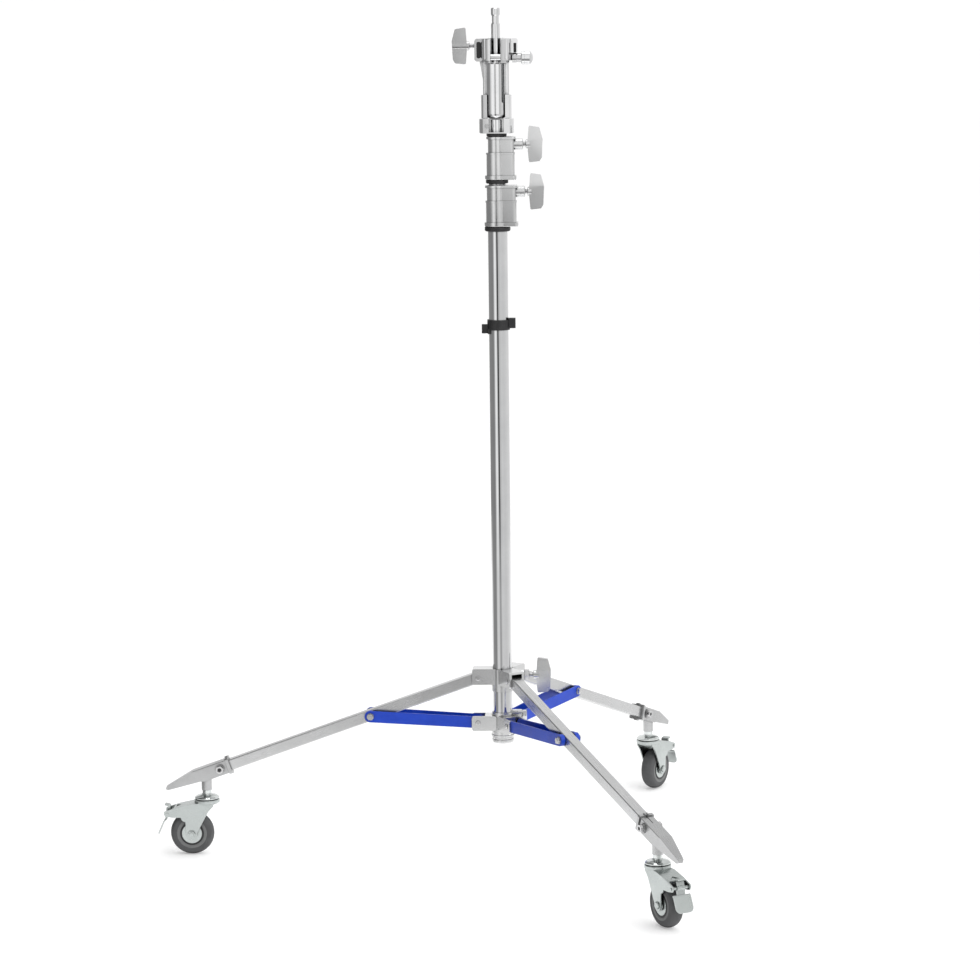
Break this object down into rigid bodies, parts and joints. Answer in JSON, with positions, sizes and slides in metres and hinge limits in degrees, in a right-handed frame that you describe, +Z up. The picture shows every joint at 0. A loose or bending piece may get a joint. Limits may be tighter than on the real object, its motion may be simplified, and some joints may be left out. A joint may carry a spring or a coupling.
{
  "type": "c stand",
  "caption": "Wheeled telescopic combo stand: chromed column and risers, folding braced legs on braked casters, and a junior receiver with a flip-up baby pin.",
  "frame": {"origin": "on the floor, under the column's axis", "axes": "+Z up along the column; the lock knobs and the plunger point along +X, leg 1 points along -X, and the crown's slot faces -Y"},
  "size_m": [0.9649, 1.1116, 1.5322],
  "materials": {
    "tube_chrome": "polished",
    "head_chrome": "polished",
    "leg_satin": "satin",
    "cast_satin": "satin cast",
    "fastener": "bright plated",
    "zinc": "zinc plated",
    "brace_blue": "gloss",
    "tyre": "matte",
    "black_plastic": "matte"
  },
  "bodies": {
    "column": {"column_tube": "tube_chrome", "lower_collar": "cast_satin", "lower_collar_hardware": "fastener", "column_lock_casting": "cast_satin", "column_guides": "black_plastic"},
    "leg_collar": {"leg_collar": "cast_satin", "leg_collar_hardware": "fastener"},
    "riser_1": {"riser_1_tube": "tube_chrome", "riser_1_lock_casting": "cast_satin", "riser_1_guides": "black_plastic"},
    "riser_2": {"riser_2_tube": "tube_chrome", "riser_2_guides": "black_plastic", "head_base": "head_chrome", "receiver": "head_chrome", "head_hardware": "fastener"},
    "column_knob": {"column_knob": "cast_satin", "column_knob_screw": "fastener"},
    "riser_1_knob": {"riser_1_knob": "cast_satin", "riser_1_knob_screw": "fastener"},
    "collar_knob": {"collar_knob": "cast_satin", "collar_knob_screw": "fastener"},
    "receiver_knob": {"receiver_knob": "cast_satin", "receiver_knob_screw": "fastener"},
    "baby_pin": {"baby_pin": "head_chrome"},
    "plunger": {"plunger_pin": "head_chrome", "plunger_spring": "fastener"},
    "cable_clip": {"cable_clip": "black_plastic"},
    "leg_1": {"leg_1_tube": "leg_satin", "leg_1_foot_casting": "cast_satin", "leg_1_hardware": "fastener", "caster_1_stem": "zinc"},
    "brace_1": {"brace_1": "brace_blue", "brace_1_hardware": "fastener"},
    "caster_1": {"caster_1_fork": "zinc", "caster_1_hardware": "zinc"},
    "wheel_1": {"caster_1_tyre": "tyre", "caster_1_hub": "zinc"},
    "brake_1": {"caster_1_brake_pedal": "zinc"},
    "leg_2": {"leg_2_tube": "leg_satin", "leg_2_foot_casting": "cast_satin", "leg_2_hardware": "fastener", "caster_2_stem": "zinc"},
    "brace_2": {"brace_2": "brace_blue", "brace_2_hardware": "fastener"},
    "caster_2": {"caster_2_fork": "zinc", "caster_2_hardware": "zinc"},
    "wheel_2": {"caster_2_tyre": "tyre", "caster_2_hub": "zinc"},
    "brake_2": {"caster_2_brake_pedal": "zinc"},
    "leg_3": {"leg_3_tube": "leg_satin", "leg_3_foot_casting": "cast_satin", "leg_3_hardware": "fastener", "caster_3_stem": "zinc"},
    "brace_3": {"brace_3": "brace_blue", "brace_3_hardware": "fastener"},
    "caster_3": {"caster_3_fork": "zinc", "caster_3_hardware": "zinc"},
    "wheel_3": {"caster_3_tyre": "tyre", "caster_3_hub": "zinc"},
    "brake_3": {"caster_3_brake_pedal": "zinc"}
  },
  "joints": [
    {"name": "collar_slide", "type": "slide", "parent": "column", "child": "leg_collar", "axis": [0, 0, 1], "range_m": [0, 0.3124]},
    {"name": "leg_1_hinge", "type": "hinge", "parent": "leg_collar", "child": "leg_1", "pos_m": [-0.0435, 0, 0.328], "axis": [0, -1, 0], "range_deg": [0, 57.62]},
    {"name": "brace_1_hinge", "type": "hinge", "parent": "column", "child": "brace_1", "pos_m": [-0.0448, 0, 0.246], "axis": [0, 1, 0], "range_deg": [0, 72.92]},
    {"name": "caster_1_swivel", "type": "hinge", "parent": "leg_1", "child": "caster_1", "pos_m": [-0.544, 0, 0.09], "axis": [0, 0, 1], "continuous": true},
    {"name": "wheel_1_spin", "type": "hinge", "parent": "caster_1", "child": "wheel_1", "pos_m": [-0.572, 0, 0.04], "axis": [0, 1, 0], "continuous": true},
    {"name": "brake_1_press", "type": "hinge", "parent": "caster_1", "child": "brake_1", "pos_m": [-0.616, 0, 0.078], "axis": [0, -1, 0], "range_deg": [0, 10]},
    {"name": "leg_2_hinge", "type": "hinge", "parent": "leg_collar", "child": "leg_2", "pos_m": [0.02175, -0.03767, 0.328], "axis": [0.866, 0.5, 0], "range_deg": [0, 57.62]},
    {"name": "brace_2_hinge", "type": "hinge", "parent": "column", "child": "brace_2", "pos_m": [0.0224, -0.0388, 0.246], "axis": [-0.866, -0.5, 0], "range_deg": [0, 72.92]},
    {"name": "caster_2_swivel", "type": "hinge", "parent": "leg_2", "child": "caster_2", "pos_m": [0.272, -0.47112, 0.09], "axis": [0, 0, 1], "continuous": true},
    {"name": "wheel_2_spin", "type": "hinge", "parent": "caster_2", "child": "wheel_2", "pos_m": [0.286, -0.49537, 0.04], "axis": [-0.866, -0.5, 0], "continuous": true},
    {"name": "brake_2_press", "type": "hinge", "parent": "caster_2", "child": "brake_2", "pos_m": [0.308, -0.53347, 0.078], "axis": [0.866, 0.5, 0], "range_deg": [0, 10]},
    {"name": "leg_3_hinge", "type": "hinge", "parent": "leg_collar", "child": "leg_3", "pos_m": [0.02175, 0.03767, 0.328], "axis": [-0.866, 0.5, 0], "range_deg": [0, 57.62]},
    {"name": "brace_3_hinge", "type": "hinge", "parent": "column", "child": "brace_3", "pos_m": [0.0224, 0.0388, 0.246], "axis": [0.866, -0.5, 0], "range_deg": [0, 72.92]},
    {"name": "caster_3_swivel", "type": "hinge", "parent": "leg_3", "child": "caster_3", "pos_m": [0.272, 0.47112, 0.09], "axis": [0, 0, 1], "continuous": true},
    {"name": "wheel_3_spin", "type": "hinge", "parent": "caster_3", "child": "wheel_3", "pos_m": [0.286, 0.49537, 0.04], "axis": [0.866, -0.5, 0], "continuous": true},
    {"name": "brake_3_press", "type": "hinge", "parent": "caster_3", "child": "brake_3", "pos_m": [0.308, 0.53347, 0.078], "axis": [-0.866, 0.5, 0], "range_deg": [0, 10]},
    {"name": "riser_1_slide", "type": "slide", "parent": "column", "child": "riser_1", "axis": [0, 0, 1], "range_m": [0, 0.88]},
    {"name": "riser_2_slide", "type": "slide", "parent": "riser_1", "child": "riser_2", "axis": [0, 0, 1], "range_m": [0, 0.88]},
    {"name": "column_knob_turn", "type": "hinge", "parent": "column", "child": "column_knob", "pos_m": [0.04, 0, 1.2085], "axis": [1, 0, 0], "range_deg": [0, 360]},
    {"name": "riser_1_knob_turn", "type": "hinge", "parent": "riser_1", "child": "riser_1_knob", "pos_m": [0.04, 0, 1.2924], "axis": [1, 0, 0], "range_deg": [0, 360]},
    {"name": "collar_knob_turn", "type": "hinge", "parent": "leg_collar", "child": "collar_knob", "pos_m": [0.04, 0, 0.3315], "axis": [1, 0, 0], "range_deg": [0, 360]},
    {"name": "receiver_knob_turn", "type": "hinge", "parent": "riser_2", "child": "receiver_knob", "pos_m": [-0.03, 0, 1.466], "axis": [-1, 0, 0], "range_deg": [0, 360]},
    {"name": "baby_pin_flip", "type": "hinge", "parent": "riser_2", "child": "baby_pin", "pos_m": [0, -0.0205, 1.446], "axis": [1, 0, 0], "range_deg": [0, 180]},
    {"name": "plunger_pull", "type": "slide", "parent": "riser_2", "child": "plunger", "axis": [1, 0, 0], "range_m": [0, 0.008], "stiffness_N_per_m": 800, "springref_m": -0.006, "deforming": ["plunger_spring"]},
    {"name": "cable_clip_slide", "type": "slide", "parent": "column", "child": "cable_clip", "axis": [0, 0, 1], "range_m": [-0.25, 0.14]}
  ],
  "couplings": [
    {"joint": "leg_1_hinge", "follows": "collar_slide", "rad_per_m": 3.2163},
    {"joint": "brace_1_hinge", "follows": "collar_slide", "rad_per_m": 4.0709},
    {"joint": "leg_2_hinge", "follows": "collar_slide", "rad_per_m": 3.2163},
    {"joint": "brace_2_hinge", "follows": "collar_slide", "rad_per_m": 4.0709},
    {"joint": "leg_3_hinge", "follows": "collar_slide", "rad_per_m": 3.2163},
    {"joint": "brace_3_hinge", "follows": "collar_slide", "rad_per_m": 4.0709}
  ]
}
